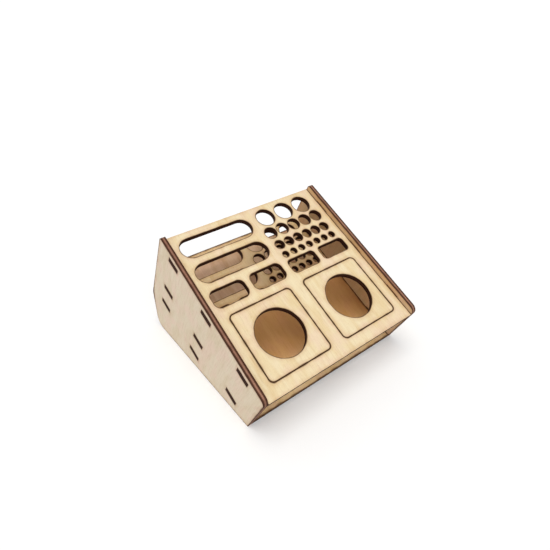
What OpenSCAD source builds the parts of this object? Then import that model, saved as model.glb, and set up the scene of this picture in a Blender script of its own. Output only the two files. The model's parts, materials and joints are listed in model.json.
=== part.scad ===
// Sloped bench stand for soldering tools, laser-cut from plywood and glued up from flat boards.
// Nine boards: two side panels, a sloping deck full of tool holes, a drilled shelf below it that
// keeps the tools upright, a plain shelf that their tips stand on, and two lift-out bottle inserts,
// each with a ledge frame glued under the deck to rest on.
// X runs across the stand, -Y is the front, +Z is up. The origin is on the table, in the middle.

/* [Plywood] */
// Thickness of the plywood
ply = 3.8; // [3:0.1:4]
// Tilt of the deck above the table, in degrees
tilt = 27; // [22:1:30]

/* [Deck] */
// Width of the deck between the side panels
deck_w = 130; // [130:1:150]
// Depth of the deck from its front edge to its back edge
deck_d = 129; // [129:1:140]
// Height of the side panels' rim above the deck
rim_h = 4.2; // [2:0.1:8]

/* [Shelves] */
// Drop from the top of the deck to the top of the drilled middle shelf
shelf_drop = 35; // [32:1:38]
// Drop from the top of the deck to the top of the plain lower shelf
lower_drop = 55; // [54:1:56]
// Distance of the lower shelf's front edge from the front of the deck
lower_front = 43; // [43:1:50]

/* [Side panels] */
// Height of the upright lower stretch of the back edge
heel_h = 33; // [30:1:36]
// Corner radius at the front of the rim
front_r = 5; // [3:0.5:6]
// Corner radius at the back of the rim
rear_r = 1.5; // [1:0.5:3]
// Corner radius at the back of the foot
heel_r = 8; // [4:1:10]
// Radius that eases the bend in the back edge
bend_r = 12; // [8:1:16]

/* [Tabs] */
// Length of a tab
tab_l = 11.3; // [10:0.1:14]
// Distance of the first tab's middle from the front edge
tab_first = 21.5; // [20:0.5:24]
// Distance between the middles of neighbouring tabs
tab_pitch = 43.5; // [42:0.5:44]
// Clearance all round a tab in its socket
tab_gap = 0.1; // [0.05:0.05:0.2]

/* [Slots] */
// Length of the two long slots
long_l = 58.75; // [56:0.25:59]
// Width of the rear long slot
rear_slot_w = 16.25; // [12:0.25:17]
// Width of the front long slot
front_slot_w = 15.75; // [12:0.25:16]
// Width of the two half slots
half_w = 13.5; // [10:0.25:14]
// Width of the two narrow slots
narrow_w = 11.3; // [8:0.1:12]

/* [Tool holes] */
// Diameter of the big holes
big_d = 15; // [12:0.5:16]
// Diameter of the medium holes
medium_d = 9.8; // [8:0.1:10]
// Diameter of the small holes
small_d = 7.4; // [6:0.1:8]
// Diameter of the fine holes
fine_d = 5; // [4:0.1:6]

/* [Bottle inserts] */
// Side of the square window in the deck
window = 50.3; // [48:0.1:51]
// Distance of the windows' middles from the front edge
insert_v = 34; // [33:0.5:35]
// Distance of each window's middle from the middle of the stand
insert_u = 31; // [30:0.5:31.5]
// Corner radius of the window
window_r = 3.5; // [2:0.5:6]
// Clearance all round an insert in its window
insert_gap = 0.3; // [0.2:0.05:0.5]
// Diameter of the bottle hole
bottle_d = 35; // [20:0.5:38]
// Width of the ledge that carries an insert
ledge_w = 3; // [2:0.5:4]

/* [Hidden] */
$fn = 64;

face_tone = "#E9D3A8";
side_tone = "#D6C4AC";
shelf_tone = "#CBA876";

tabs = 3; // tabs along each side of a full board

// Slots: [middle across, middle from the front edge, length, width, corner radius]
slot_end_u = 59.5; // outer ends of the slots, from the middle of the stand
long_u = long_l / 2 - slot_end_u;
half_l = 26.75;
half_v = 72.75;
half_r = 4.5;
narrow_l = 24.75;
narrow_v = 71.65;
narrow_r = 3;
narrow_bar = 4.5; // width of the bar between the two narrow slots
slots = [
    [long_u, 115.4, long_l, rear_slot_w, rear_slot_w / 2],
    [long_u, 93.4, long_l, front_slot_w, front_slot_w / 2],
    [half_l / 2 - slot_end_u, half_v, half_l, half_w, half_r],
    [long_l - half_l / 2 - slot_end_u, half_v, half_l, half_w, half_r],
    [slot_end_u - narrow_bar - narrow_l * 3 / 2, narrow_v, narrow_l, narrow_w, narrow_r],
    [slot_end_u - narrow_l / 2, narrow_v, narrow_l, narrow_w, narrow_r]
];

// Rows of round holes: [how many, diameter, pitch, distance from the front edge]
row_u = 31.75; // middle of every row, from the middle of the stand
rows = [
    [3, big_d, 17.6, 117.5],
    [5, medium_d, 11.1, 103.4],
    [6, small_d, 8.8, 91.7],
    [7, fine_d, 7.65, 82.7]
];

half_deck = deck_w / 2;
front_h = shelf_drop + ply; // front edge of a side panel, below the deck
foot_l = (deck_d - heel_h * sin(tilt)) / cos(tilt);
insert_side = window - 2 * insert_gap;

// Side panel's corners in deck coordinates, [distance from the front edge, height above the deck]
heel = [foot_l * cos(tilt), -front_h - foot_l * sin(tilt)];
panel_corners = [
    [0, rim_h],
    [0, -front_h],
    heel,
    heel + heel_h * [sin(tilt), cos(tilt)],
    [deck_d, rim_h]
];
panel_radii = [front_r, 0, heel_r, bend_r, rear_r];

// The stand's foremost and rearmost points, measured along the table from below the deck's edge
foremost = front_r * cos(tilt) - (rim_h - front_r) * sin(tilt) - front_r;
rearmost = front_h * sin(tilt) + foot_l;
place = [0, -(foremost + rearmost) / 2, front_h * cos(tilt)];

// Puts deck coordinates (across, up the slope, out of the deck) where the deck stands
module on_slope() {
    translate(place) rotate([tilt, 0, 0]) children();
}

// Unit vector from one point to another
function toward(a, b) = (b - a) / norm(b - a);

// Half of the angle between the two edges that meet at corner i
function half_angle(p, i) =
    let(n = len(p))
    acos(toward(p[i], p[(i + n - 1) % n]) * toward(p[i], p[(i + 1) % n])) / 2;

// Middle of the circle that rounds corner i
function round_centre(p, r, i) =
    let(n = len(p))
    let(a = toward(p[i], p[(i + n - 1) % n]))
    let(b = toward(p[i], p[(i + 1) % n]))
    p[i] + (a + b) / norm(a + b) * r[i] / sin(half_angle(p, i));

// The points that replace corner i: itself, or the two ends of its rounding
function corner_points(p, r, i) =
    let(n = len(p))
    let(d = r[i] / tan(half_angle(p, i)))
    r[i] == 0
        ? [p[i]]
        : [
            p[i] + d * toward(p[i], p[(i + n - 1) % n]),
            p[i] + d * toward(p[i], p[(i + 1) % n])
        ];

// A convex outline whose corners are rounded by true circles
module rounded_outline(p, r) {
    polygon([for (i = [0 : len(p) - 1]) each corner_points(p, r, i)]);
    for (i = [0 : len(p) - 1])
        if (r[i] > 0) translate(round_centre(p, r, i)) circle(r[i]);
}

// A rectangle with rounded corners, or a slot with full round ends, centred on the origin
module rounded_slot(l, w, r) {
    square([l - 2 * r, w], center = true);
    if (w > 2 * r) square([l, w - 2 * r], center = true);
    for (x = [-1, 1], y = [-1, 1])
        translate([x * (l / 2 - r), y * (w / 2 - r)]) circle(r);
}

// Every slot and tool hole, as the deck and the middle shelf both have them
module tool_cutouts() {
    for (s = slots)
        translate([s[0], s[1]]) rounded_slot(s[2], s[3], s[4]);
    for (row = rows, i = [0 : row[0] - 1])
        translate([row_u + (i - (row[0] - 1) / 2) * row[2], row[3]]) circle(d = row[1]);
}

// Outline of a board between the side panels, from first_tab on, with its tabs on both sides
module board_outline(front, first_tab) {
    translate([-half_deck, front]) square([deck_w, deck_d - front]);
    for (i = [first_tab : tabs - 1])
        translate([-half_deck - ply, tab_first + i * tab_pitch - tab_l / 2])
            square([deck_w + 2 * ply, tab_l]);
}

// A board whose upper face is the given drop below the top of the deck
module board(drop) {
    on_slope() translate([0, 0, -drop - ply]) linear_extrude(ply) children();
}

// Sockets through a side panel for one board's tabs
module sockets(drop, first_tab) {
    for (i = [first_tab : tabs - 1])
        translate([tab_first + i * tab_pitch, -drop - ply / 2])
            square([tab_l + 2 * tab_gap, ply + 2 * tab_gap], center = true);
}

// A side panel whose inner face is at the given distance from the middle
module side_panel(inner) {
    on_slope()
        translate([inner, 0, 0]) rotate([90, 0, 90]) linear_extrude(ply)
            difference() {
                rounded_outline(panel_corners, panel_radii);
                sockets(0, 0);
                sockets(shelf_drop, 0);
                sockets(lower_drop, 1);
            }
}

// A bottle insert, on the given side of the stand
module insert(side) {
    board(0) translate([side * insert_u, insert_v])
        difference() {
            rounded_slot(insert_side, insert_side, window_r - insert_gap);
            circle(d = bottle_d);
        }
}

// The frame glued under the deck that an insert rests on
module insert_ledge(side) {
    board(ply) translate([side * insert_u, insert_v])
        difference() {
            rounded_slot(window + 2 * ledge_w, window + 2 * ledge_w, window_r);
            rounded_slot(window - 2 * ledge_w, window - 2 * ledge_w, window_r);
        }
}

module left_side_panel() {
    color(side_tone) side_panel(-half_deck - ply);
}

module right_side_panel() {
    color(side_tone) side_panel(half_deck);
}

module deck_panel() {
    color(face_tone) board(0)
        difference() {
            board_outline(0, 0);
            tool_cutouts();
            for (side = [-1, 1])
                translate([side * insert_u, insert_v]) rounded_slot(window, window, window_r);
        }
}

module middle_shelf() {
    color(shelf_tone) board(shelf_drop)
        difference() {
            board_outline(0, 0);
            tool_cutouts();
        }
}

module lower_shelf() {
    color(shelf_tone) board(lower_drop) board_outline(lower_front, 1);
}

module left_insert() {
    color(face_tone) insert(-1);
}

module right_insert() {
    color(face_tone) insert(1);
}

module left_insert_ledge() {
    color(shelf_tone) insert_ledge(-1);
}

module right_insert_ledge() {
    color(shelf_tone) insert_ledge(1);
}

left_side_panel();
right_side_panel();
deck_panel();
middle_shelf();
lower_shelf();
left_insert();
right_insert();
left_insert_ledge();
right_insert_ledge();
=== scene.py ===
"""Looks of a sloped plywood tool stand: birch veneer with laser-browned cuts, on a pale floor.

Every board is a CAD node. Its material reads the board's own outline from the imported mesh, so the
scorched rim follows each slot, hole, window, socket and outer edge, and the cut edges show plies.
"""
import json
import math

import bpy
from mathutils import Matrix, Vector


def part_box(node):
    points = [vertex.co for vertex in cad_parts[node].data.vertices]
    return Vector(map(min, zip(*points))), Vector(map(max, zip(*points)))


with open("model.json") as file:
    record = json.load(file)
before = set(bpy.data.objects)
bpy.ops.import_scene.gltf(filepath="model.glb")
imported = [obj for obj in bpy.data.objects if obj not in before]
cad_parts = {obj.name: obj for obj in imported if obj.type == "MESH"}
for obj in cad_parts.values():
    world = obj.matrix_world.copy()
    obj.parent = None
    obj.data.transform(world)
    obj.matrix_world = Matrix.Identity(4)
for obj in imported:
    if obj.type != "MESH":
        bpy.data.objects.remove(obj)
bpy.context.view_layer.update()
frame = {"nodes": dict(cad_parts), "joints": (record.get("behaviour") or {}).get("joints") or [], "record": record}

MM = 1000.0  # millimetres in a metre; the outlines and the materials are in millimetres

# The slope: across is +X, up_slope runs up the deck and out_of_deck leaves it
out_of_deck = Vector(frame["joints"][0]["axis"]).normalized()
across = Vector((1, 0, 0))
up_slope = out_of_deck.cross(across)

SIDE_PANELS = ("left_side_panel", "right_side_panel")
inner_half_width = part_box("right_side_panel")[0].x * MM

# Cosines of the angle between a surface and its board's faces: it is a cut edge up to the first of
# these, and a face from the second on
EDGE_COSINE, FACE_COSINE = 0.6, 0.8

# The scorch beside a laser cut: full within SCORCH_FULL of it, and gone at the ragged SCORCH_REACH
SCORCH_FULL = 0.12
SCORCH_REACH = (0.5, 1.2)
SCORCH_SHARE = 0.95  # of the veneer's colour that a full scorch hides
HAZE_SPREAD = 4.0  # the haze around a scorch reaches this many times as far
HAZE_SHARE = 0.3

# A board's own rim, against its neighbour's wall or in the open
SHELF_RIM_SHARE = 0.5  # distances count for less at a shelf's rim, so it is twice as smoky
DECK_SIDE_SMOKE = 0.35  # how much nearer the deck's side rims count
DECK_END_CLEAN = 0.6  # how much further the deck's front and back rims count

# Painted shade: these faces inside the stand are darkened and warmed, more so deeper in from the front, as the
# stand's shade would; each has its outward direction
SHADED_FACES = {
    "left_side_panel": across,
    "right_side_panel": -across,
    "deck_panel": -out_of_deck,
    "middle_shelf": out_of_deck,
    "left_insert": -out_of_deck,
    "right_insert": -out_of_deck,
}
SHADE_DEEPENS = (4.0, 32.0)  # distances from a board's front between which its painted shade deepens
# How strong the painted shade already is at a side panel's front and at another board's front
WALL_SHADE_AT_FRONT, BOARD_SHADE_AT_FRONT = 0.7, 0.1
SHADE_THINS = (70.0, 86.0)  # distances between which the middle shelf's painted shade thins out again, under the slots where light falls through
# How much of the painted shade stays on the middle shelf under its slots, where light falls through
SHADE_UNDER_SLOTS = 0.15


def srgb(red, green, blue):
    """A colour given by its usual 0 to 255 values, as the linear colour that a shader takes."""
    shares = [value / 255 for value in (red, green, blue)]
    linear = [s / 12.92 if s <= 0.04045 else ((s + 0.055) / 1.055) ** 2.4 for s in shares]
    return (*linear, 1.0)


# ---------------------------------------------------------------- outlines of the boards


def board_axes(name):
    """(thickness, first, second) directions of a board; the last two lie in its faces."""
    if name in SIDE_PANELS:
        return across, up_slope, out_of_deck
    return out_of_deck, across, up_slope


def face_loops(name):
    """The closed outlines of a board's upper face, as lists of points in mm along its face axes."""
    mesh = frame["nodes"][name].data
    thickness, first, second = board_axes(name)
    top = max(vertex.co.dot(thickness) for vertex in mesh.vertices)

    def key(index):
        return tuple(round(c * MM, 2) for c in mesh.vertices[index].co)

    # An edge that two triangles share is met once in each direction and cancels out, so the edges
    # left over are the outlines
    following = {}
    for polygon in mesh.polygons:
        faces_up = polygon.normal.dot(thickness) > 0.99
        if not faces_up or polygon.center.dot(thickness) < top - 0.1 / MM:
            continue
        corners = [key(index) for index in polygon.vertices]
        for start, end in zip(corners, corners[1:] + corners[:1]):
            if following.get(end) and start in following[end]:
                following[end].remove(start)
            else:
                following.setdefault(start, []).append(end)
    loops = []
    while any(following.values()):
        start = next(point for point, ends in following.items() if ends)
        loop = [start]
        while True:
            end = following[loop[-1]].pop()
            if end == start:
                break
            loop.append(end)
        points = [Vector(point) for point in loop]
        loops.append([(point.dot(first), point.dot(second)) for point in points])
    return loops


def rounded_box_of(loop):
    """(centre, half size, corner radius) of the rounded rectangle or circle that a loop draws."""
    low = [min(point[i] for point in loop) for i in (0, 1)]
    high = [max(point[i] for point in loop) for i in (0, 1)]
    centre = [(a + b) / 2 for a, b in zip(low, high)]
    half = [(b - a) / 2 for a, b in zip(low, high)]
    turns = zip(loop, loop[1:] + loop[:1])
    area = abs(sum(start[0] * end[1] - end[0] * start[1] for start, end in turns)) / 2
    missing = max(4 * half[0] * half[1] - area, 0)  # what the four round corners take away
    return centre, half, min(math.sqrt(missing / (4 - math.pi)), *half)


def long_edges_of(loop, shortest=4.0):
    """(outward normal, offset, radius of the corner after it) of a convex loop's straight edges.

    Stretches under the shortest length are taken as parts of a rounded corner.
    """
    middle = [sum(point[i] for point in loop) / len(loop) for i in (0, 1)]
    edges = []
    arc = 0.0  # length of a corner that the loop starts in
    for (x0, y0), (x1, y1) in zip(loop, loop[1:] + loop[:1]):
        length = math.hypot(x1 - x0, y1 - y0)
        if length < shortest:
            if edges:
                edges[-1][2] += length
            else:
                arc += length
            continue
        normal = ((y1 - y0) / length, (x0 - x1) / length)
        offset = normal[0] * x0 + normal[1] * y0
        if normal[0] * middle[0] + normal[1] * middle[1] > offset:
            normal, offset = (-normal[0], -normal[1]), -offset
        edges.append([normal, offset, 0.0])
    edges[-1][2] += arc
    for edge, after in zip(edges, edges[1:] + edges[:1]):
        turn = math.acos(edge[0][0] * after[0][0] + edge[0][1] * after[0][1])
        edge[2] /= turn
    return edges


# ---------------------------------------------------------------- shader nodes


class Graph:
    """Adds nodes to a tree, one short call each. An input is a socket to link or a plain value."""

    def __init__(self, tree):
        self.tree = tree

    def put(self, socket, value):
        if isinstance(value, bpy.types.NodeSocket):
            self.tree.links.new(value, socket)
        else:
            socket.default_value = value

    def add(self, kind, *inputs, **settings):
        """A node with its first inputs given in their own order, and its settings by name."""
        node = self.tree.nodes.new(kind)
        for name, value in settings.items():
            setattr(node, name, value)
        for socket, value in zip(node.inputs, inputs):
            self.put(socket, value)
        return node

    def add_named(self, kind, **inputs):
        """A node whose inputs are given by name, with _ for each space."""
        node = self.tree.nodes.new(kind)
        for name, value in inputs.items():
            self.put(node.inputs[name.replace("_", " ")], value)
        return node

    def math(self, operation, *inputs):
        return self.add("ShaderNodeMath", *inputs, operation=operation).outputs[0]

    def vector(self, operation, *inputs):
        node = self.add("ShaderNodeVectorMath", *inputs, operation=operation)
        return node.outputs["Value" if operation in ("DOT_PRODUCT", "LENGTH") else "Vector"]

    def scale(self, vector, factor):
        node = self.add("ShaderNodeVectorMath", vector, operation="SCALE")
        self.put(node.inputs["Scale"], factor)
        return node.outputs["Vector"]

    def combine(self, x, y, z):
        return self.add("ShaderNodeCombineXYZ", x, y, z).outputs[0]

    def group(self, tree, *inputs):
        node = self.tree.nodes.new("ShaderNodeGroup")
        node.node_tree = tree
        for socket, value in zip(node.inputs, inputs):
            self.put(socket, value)
        return node.outputs

    def noise(self, point, cycles, detail=2.0, roughness=0.5, distortion=0.0):
        """Noise from 0 to 1 at a point, with so many cycles a millimetre along each axis."""
        node = self.add_named(
            "ShaderNodeTexNoise",
            Vector=self.vector("MULTIPLY", point, cycles),
            Scale=1.0,
            Detail=detail,
            Roughness=roughness,
            Distortion=distortion,
        )
        return node.outputs["Fac"]

    def span(self, value, low, high, to_low=0.0, to_high=1.0, easing="SMOOTHSTEP"):
        """value from low..high mapped to to_low..to_high, clamped and, by default, eased."""
        node = self.add("ShaderNodeMapRange", interpolation_type=easing)
        for socket, given in zip(node.inputs, (value, low, high, to_low, to_high)):
            self.put(socket, given)
        return node.outputs[0]

    def ramp(self, factor, *stops):
        """A colour ramp of (position, colour) stops."""
        node = self.add("ShaderNodeValToRGB", factor)
        elements = node.color_ramp.elements
        while len(elements) < len(stops):
            elements.new(0.5)
        for element, (position, colour) in zip(elements, stops):
            element.position = position
            element.color = colour
        return node.outputs[0]

    def mix(self, factor, first, second, blend="MIX"):
        """Two colours mixed."""
        node = self.add("ShaderNodeMix", data_type="RGBA", blend_type=blend)
        for index, value in ((0, factor), (6, first), (7, second)):
            self.put(node.inputs[index], value)
        return node.outputs[2]

    def mix_values(self, factor, first, second):
        """Two plain values mixed."""
        node = self.add("ShaderNodeMix", data_type="FLOAT")
        for index, value in ((0, factor), (2, first), (3, second)):
            self.put(node.inputs[index], value)
        return node.outputs[0]

    def fold(self, operation, values):
        """Several values taken into one by a chain of Math nodes."""
        found = values[0]
        for value in values[1:]:
            found = self.math(operation, found, value)
        return found


def new_group(name, inputs, outputs):
    """An empty node group with its (name, socket type) inputs and outputs, ready to fill."""
    tree = bpy.data.node_groups.new(name, "ShaderNodeTree")
    for in_out, sockets in (("INPUT", inputs), ("OUTPUT", outputs)):
        for socket, kind in sockets:
            tree.interface.new_socket(socket, in_out=in_out, socket_type="NodeSocket" + kind)
    graph = Graph(tree)
    taken = graph.add("NodeGroupInput").outputs[: len(inputs)]
    given = graph.add("NodeGroupOutput").inputs[: len(outputs)]
    return graph, taken, given


def box_distance_group():
    """Distance in mm from a point to a rounded rectangle; it is negative inside."""
    graph, (point, centre, core, radius), (out,) = new_group(
        "rounded_box_distance",
        [("Point", "Vector"), ("Centre", "Vector"), ("Core", "Vector"), ("Radius", "Float")],
        [("Distance", "Float")],
    )
    away = graph.vector("ABSOLUTE", graph.vector("SUBTRACT", point, centre))
    past = graph.vector("SUBTRACT", away, core)
    outside = graph.vector("LENGTH", graph.vector("MAXIMUM", past, (0, 0, 0)))
    parts = graph.add("ShaderNodeSeparateXYZ", past).outputs
    inside = graph.math("MINIMUM", graph.math("MAXIMUM", parts[0], parts[1]), 0.0)
    graph.put(out, graph.math("SUBTRACT", graph.math("ADD", outside, inside), radius))
    return graph.tree


def circle_distance_group():
    """Distance in mm from a point to a circle; it is negative inside."""
    graph, (point, centre, radius), (out,) = new_group(
        "circle_distance",
        [("Point", "Vector"), ("Centre", "Vector"), ("Radius", "Float")],
        [("Distance", "Float")],
    )
    away = graph.vector("LENGTH", graph.vector("SUBTRACT", point, centre))
    graph.put(out, graph.math("SUBTRACT", away, radius))
    return graph.tree


box_distance = box_distance_group()
circle_distance = circle_distance_group()


def distance_to(graph, point, loop):
    """Distance in mm from a point to one loop, negative inside it."""
    centre, half, radius = rounded_box_of(loop)
    is_circle = radius > 0.97 * max(half)
    if is_circle:
        return graph.group(circle_distance, point, (*centre, 0), radius)[0]
    core = [size - radius for size in half]
    return graph.group(box_distance, point, (*centre, 0), (*core, 0), radius)[0]


def distance_to_convex(graph, point, loop, least_easing=0.1):
    """Distance in mm from a point to a convex outline with eased corners, negative inside it."""
    edges = long_edges_of(loop)
    past = []
    for normal, offset, _ in edges:
        along = graph.vector("DOT_PRODUCT", point, (*normal, 0))
        past.append(graph.math("SUBTRACT", along, offset))
    corners = []
    for i, (_, _, radius) in enumerate(edges):
        pair = past[i], past[(i + 1) % len(past)]
        corners.append(graph.math("SMOOTH_MAX", *pair, max(radius, least_easing)))
    return graph.fold("MAXIMUM", corners)


def cut_distance(graph, name, point):
    """Distance in mm from a point on a board's face to the nearest laser cut."""
    loops = sorted(face_loops(name), key=lambda loop: -max(rounded_box_of(loop)[1]))
    outer, holes = loops[0], loops[1:]
    if name in SIDE_PANELS:
        rim = distance_to_convex(graph, point, outer)
    elif name.endswith("ledge") or name.endswith("insert"):
        rim = distance_to(graph, point, outer)
    else:
        # The tabs run on into the side panels, so the board ends at the panels' inner faces
        (_, y), (_, half_y), _ = rounded_box_of(outer)
        smoke, clean = (DECK_SIDE_SMOKE, DECK_END_CLEAN) if name == "deck_panel" else (0.0, 0.0)
        core = (inner_half_width - smoke, half_y + clean, 0)
        rim = graph.group(box_distance, point, (0, y, 0), core, 0.0)[0]
    inward = -SHELF_RIM_SHARE if name.endswith("shelf") else -1.0
    clear = [distance_to(graph, point, loop) for loop in holes]
    return graph.fold("MINIMUM", [graph.math("MULTIPLY", rim, inward), *clear])


# ---------------------------------------------------------------- plywood


def veneer_group():
    """Birch veneer: colour, roughness and height from a point in mm, with its grain along Y.

    From coarse to fine, it has broad figure and rosy patches, grain lines, dark flecks and fibres.
    """
    graph, (point, pale, tan, rosy), (colour_out, rough_out, height_out) = new_group(
        "birch_veneer",
        [("Point", "Vector"), ("Pale", "Color"), ("Tan", "Color"), ("Rosy", "Color")],
        [("Colour", "Color"), ("Roughness", "Float"), ("Height", "Float")],
    )
    figure = graph.noise(point, (0.12, 0.028, 0.1), detail=3.0, distortion=0.8)
    patch = graph.noise(point, (0.09, 0.06, 0.1), detail=3.0, roughness=0.55)
    grain = graph.noise(point, (1.7, 0.08, 1.0), detail=4.0, roughness=0.6, distortion=0.2)
    fleck = graph.noise(point, (3.4, 0.55, 1.0), detail=1.0)
    fibre = graph.noise(point, (6.0, 1.2, 1.0), detail=2.0, roughness=0.6)
    colour = graph.mix(graph.span(figure, 0.32, 0.7), pale, tan)
    colour = graph.mix(graph.span(patch, 0.42, 0.68, 0.0, 0.8), colour, rosy)
    lines = graph.span(grain, 0.45, 0.75, 0.0, 0.2)
    colour = graph.mix(lines, colour, srgb(190, 146, 96), "MULTIPLY")
    flecks = graph.span(fleck, 0.68, 0.78, 0.0, 0.3)
    colour = graph.mix(flecks, colour, srgb(170, 122, 76), "MULTIPLY")
    speckle = graph.span(fibre, 0.3, 0.7, 0.96, 1.04)
    graph.put(colour_out, graph.scale(colour, speckle))
    graph.put(rough_out, graph.span(grain, 0.3, 0.7, 0.55, 0.72))
    ridges = graph.math("ADD", graph.math("MULTIPLY", grain, 0.6), graph.math("MULTIPLY", fibre, 0.25))
    graph.put(height_out, graph.math("SUBTRACT", ridges, graph.math("MULTIPLY", flecks, 0.8)))
    return graph.tree


def burnt_edge_group():
    """A laser-cut edge: plies by Depth, 0 to 1 through the board, with the beam's fine striations."""
    graph, (point, depth, core, char), (colour_out, rough_out, height_out) = new_group(
        "burnt_edge",
        [("Point", "Vector"), ("Depth", "Float"), ("Core", "Color"), ("Char", "Color")],
        [("Colour", "Color"), ("Roughness", "Float"), ("Height", "Float")],
    )
    along = graph.noise(point, (0.09, 0.09, 0.09), detail=3.0, roughness=0.6)
    striation = graph.noise(point, (2.6, 2.6, 2.6), detail=2.0, roughness=0.6)
    wobble = graph.math("MULTIPLY", graph.math("SUBTRACT", along, 0.5), 0.16)
    charred, browned, clear = ((share, share, share, 1) for share in (0.0, 0.3, 1.0))
    core_share = graph.ramp(
        graph.math("ADD", depth, wobble),
        (0.0, browned),
        (0.1, charred),
        (0.26, browned),
        (0.31, charred),
        (0.37, clear),
        (0.63, clear),
        (0.69, charred),
        (0.74, browned),
        (0.9, charred),
        (1.0, browned),
    )
    uneven = graph.span(along, 0.3, 0.7, 0.55, 1.0)
    toned = graph.mix(graph.math("MULTIPLY", core_share, uneven), char, core)
    streaks = graph.span(striation, 0.35, 0.7, 0.72, 1.18)
    graph.put(colour_out, graph.scale(toned, streaks))
    graph.put(rough_out, graph.span(striation, 0.3, 0.7, 0.8, 0.95))
    graph.put(height_out, striation)
    return graph.tree


veneer = veneer_group()
burnt_edge = burnt_edge_group()


def painted_inner_shade(graph, name, colour, normal, up_board):
    """A face's colour, with painted shade on the side that looks into the stand: darker and warmer deeper in from
    the front, lighter under the middle shelf's slots.
    """
    is_wall = name in SIDE_PANELS
    front = min(vertex.co.dot(up_slope) for vertex in frame["nodes"][name].data.vertices) * MM
    from_front = graph.math("SUBTRACT", up_board, front)
    at_front = WALL_SHADE_AT_FRONT if is_wall else BOARD_SHADE_AT_FRONT
    deep = graph.span(from_front, *SHADE_DEEPENS, at_front, 1.0)
    if name == "middle_shelf":
        under_slots = graph.span(from_front, *SHADE_THINS, 1.0, SHADE_UNDER_SLOTS)
        deep = graph.math("MULTIPLY", deep, under_slots)
    inward = graph.vector("DOT_PRODUCT", normal, SHADED_FACES[name])
    share = graph.math("MULTIPLY", graph.span(inward, EDGE_COSINE, FACE_COSINE), deep)
    # The painted shade's tint: faint on the side panels, deeper on the other boards
    shade_tint = srgb(250, 227, 195) if is_wall else srgb(225, 192, 161)
    return graph.mix(share, colour, shade_tint, "MULTIPLY")


def scorched(graph, colour, near, placed):
    """A face's colour, with the scorch and its haze around the cuts; near is how near they are."""
    ragged = graph.noise(placed, (0.16, 0.16, 0.16), detail=3.0)
    reach = graph.span(ragged, 0.25, 0.75, *SCORCH_REACH)
    haze_reach = graph.math("MULTIPLY", reach, HAZE_SPREAD)
    haze = graph.span(near, 0.0, haze_reach, HAZE_SHARE, 0.0)
    scorch = graph.span(near, SCORCH_FULL, reach, SCORCH_SHARE, 0.0)
    colour = graph.mix(haze, colour, srgb(206, 158, 112), "MULTIPLY")
    return graph.mix(scorch, colour, srgb(74, 41, 10))


def plywood(name, pale, tan, rosy, core, char, shift):
    """The material of one board: veneer on its faces, burnt plies on its edges, scorched rims."""
    material = bpy.data.materials.new(name + "_plywood")
    material.use_nodes = True
    material.node_tree.nodes.clear()
    graph = Graph(material.node_tree)
    thickness, first, second = board_axes(name)
    given = graph.add("ShaderNodeTexCoord").outputs

    def measured(direction):
        return graph.math("MULTIPLY", graph.vector("DOT_PRODUCT", given["Object"], direction), MM)

    heights = [vertex.co.dot(thickness) * MM for vertex in frame["nodes"][name].data.vertices]
    rise = measured(thickness)
    depth = graph.span(rise, min(heights), max(heights), easing="LINEAR")
    flat = graph.combine(measured(first), measured(second), 0.0)
    placed = graph.combine(measured(first), measured(second), rise)
    facing = graph.math("ABSOLUTE", graph.vector("DOT_PRODUCT", given["Normal"], thickness))
    on_face = graph.span(facing, EDGE_COSINE, FACE_COSINE)

    sheet = graph.vector("ADD", placed, (shift, 3 * shift, 0.0))
    face_colour, face_rough, face_height = graph.group(veneer, sheet, pale, tan, rosy)
    edge_colour, edge_rough, edge_height = graph.group(burnt_edge, placed, depth, core, char)
    # Painted shade on the faces that look into the stand
    if name in SHADED_FACES:
        face_colour = painted_inner_shade(graph, name, face_colour, given["Normal"], measured(up_slope))
    face_colour = scorched(graph, face_colour, cut_distance(graph, name, flat), placed)

    bump = graph.add_named(
        "ShaderNodeBump",
        Strength=0.5,
        Distance=0.00012,
        Height=graph.mix_values(on_face, edge_height, face_height),
    )
    surface = graph.add_named(
        "ShaderNodeBsdfPrincipled",
        Base_Color=graph.mix(on_face, edge_colour, face_colour),
        Roughness=graph.mix_values(on_face, edge_rough, face_rough),
        Normal=bump.outputs[0],
        Specular_IOR_Level=0.15,
    )
    graph.add("ShaderNodeOutputMaterial", surface.outputs[0])
    return material


deck_tones = dict(
    pale=srgb(230, 214, 178),
    tan=srgb(223, 201, 157),
    rosy=srgb(228, 204, 175),
    core=srgb(66, 32, 16),
    char=srgb(34, 13, 5),
)
side_tones = dict(
    pale=srgb(213, 199, 176),
    tan=srgb(207, 191, 164),
    rosy=srgb(216, 193, 174),
    core=srgb(164, 120, 98),
    char=srgb(54, 24, 10),
)
shelf_tones = dict(
    pale=srgb(238, 217, 172),
    tan=srgb(230, 206, 155),
    rosy=srgb(232, 205, 168),
    core=srgb(66, 34, 18),
    char=srgb(36, 14, 6),
)
rosy_shelf_tones = dict(
    shelf_tones,
    pale=srgb(229, 200, 169),
    tan=srgb(207, 169, 131),
    rosy=srgb(224, 190, 163),
)
TONES = {"deck_ply": deck_tones, "side_ply": side_tones, "shelf_ply": shelf_tones}
SHEET_SHIFT = 211.0  # how far apart the boards' veneers are cut, so that no two look the same

for count, subpart in enumerate(frame["record"]["subparts"]):
    board = frame["nodes"][subpart["node"]]
    board.data.materials.clear()
    tones = rosy_shelf_tones if board.name == "lower_shelf" else TONES[subpart["material_slot"]]
    board.data.materials.append(plywood(board.name, shift=SHEET_SHIFT * count, **tones))


# ---------------------------------------------------------------- floor, light and camera


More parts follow.
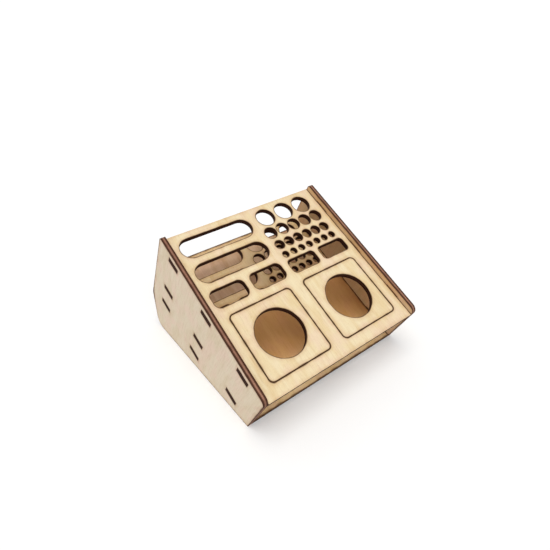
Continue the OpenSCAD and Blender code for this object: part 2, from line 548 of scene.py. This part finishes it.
def studio_floor(half_size, grey, glow):
    """A pale, plain floor at the stand's feet. Its faint glow keeps the shadows on it light."""
    corners = [(x, y, 0.0) for x, y in ((-1, -1), (1, -1), (1, 1), (-1, 1))]
    mesh = bpy.data.meshes.new("floor")
    mesh.from_pydata([Vector(corner) * half_size for corner in corners], [], [(0, 1, 2, 3)])
    floor = bpy.data.objects.new("floor", mesh)
    bpy.context.scene.collection.objects.link(floor)
    material = bpy.data.materials.new("floor")
    material.use_nodes = True
    surface = material.node_tree.nodes["Principled BSDF"]
    surface.inputs["Base Color"].default_value = (grey, grey, grey, 1)
    surface.inputs["Emission Color"].default_value = (1, 1, 1, 1)
    surface.inputs["Emission Strength"].default_value = glow
    surface.inputs["Roughness"].default_value = 0.9
    surface.inputs["Specular IOR Level"].default_value = 0.1
    mesh.materials.append(material)


def soft_light(name, direction, spread, strength, colour):
    """A wide light from far away in the given direction; spread is its width in degrees."""
    data = bpy.data.lights.new(name, "SUN")
    data.angle = math.radians(spread)
    data.energy = strength
    data.color = colour
    light = bpy.data.objects.new(name, data)
    light.rotation_mode = "QUATERNION"
    light.rotation_quaternion = Vector(direction).to_track_quat("Z", "Y")
    bpy.context.scene.collection.objects.link(light)


def studio_sky(horizon, zenith, evens_out_at):
    """A white surround, brightest at the horizon so that the floor runs into it without a line.

    evens_out_at is the sine of the height above the horizon where it reaches the zenith's strength.
    """
    world = bpy.data.worlds.new("studio")
    bpy.context.scene.world = world
    world.use_nodes = True
    world.node_tree.nodes.clear()
    graph = Graph(world.node_tree)
    direction = graph.add("ShaderNodeTexCoord").outputs["Generated"]
    height = graph.add("ShaderNodeSeparateXYZ", direction).outputs["Z"]
    strength = graph.span(height, 0.0, evens_out_at, horizon, zenith)
    sky = graph.add("ShaderNodeBackground", (1, 1, 1, 1), strength)
    graph.add("ShaderNodeOutputWorld", sky.outputs[0])


def studio_camera(place, azimuth, elevation, roll, lens, shift):
    """A camera at a place in metres. Azimuth 0 looks along +Y; the angles are in degrees."""
    data = bpy.data.cameras.new("camera")
    data.sensor_width = 36.0
    data.lens = lens
    data.shift_x, data.shift_y = shift
    data.clip_start, data.clip_end = 0.01, 30.0
    azimuth, elevation, roll = (math.radians(angle) for angle in (azimuth, elevation, roll))
    outward = Vector((math.sin(azimuth), -math.cos(azimuth), 0))
    back = outward * math.cos(elevation) + Vector((0, 0, math.sin(elevation)))
    level = Vector((0, 0, 1)).cross(back).normalized()
    right = level * math.cos(roll) + back.cross(level) * math.sin(roll)
    axes = Matrix((right, back.cross(right), back)).transposed()
    camera = bpy.data.objects.new("camera", data)
    camera.matrix_world = Matrix.Translation(place) @ axes.to_4x4()
    bpy.context.scene.collection.objects.link(camera)
    bpy.context.scene.camera = camera


studio_floor(half_size=8.0, grey=0.72, glow=0.26)
studio_sky(horizon=1.0, zenith=0.6, evens_out_at=0.4)
soft_light("key_light", (-0.15, -0.1, 1.0), spread=40.0, strength=1.25, colour=(1.0, 0.98, 0.95))
soft_light("fill_light", (-0.6, -1.0, 0.6), spread=70.0, strength=0.65, colour=(1.0, 1.0, 1.0))
studio_camera(
    place=(-0.1686, -0.2140, 0.2484),
    azimuth=-35.51,
    elevation=31.64,
    roll=-1.96,
    lens=29.65,
    shift=(0.0295, -0.047),
)
bpy.context.scene.view_settings.view_transform = "Standard"
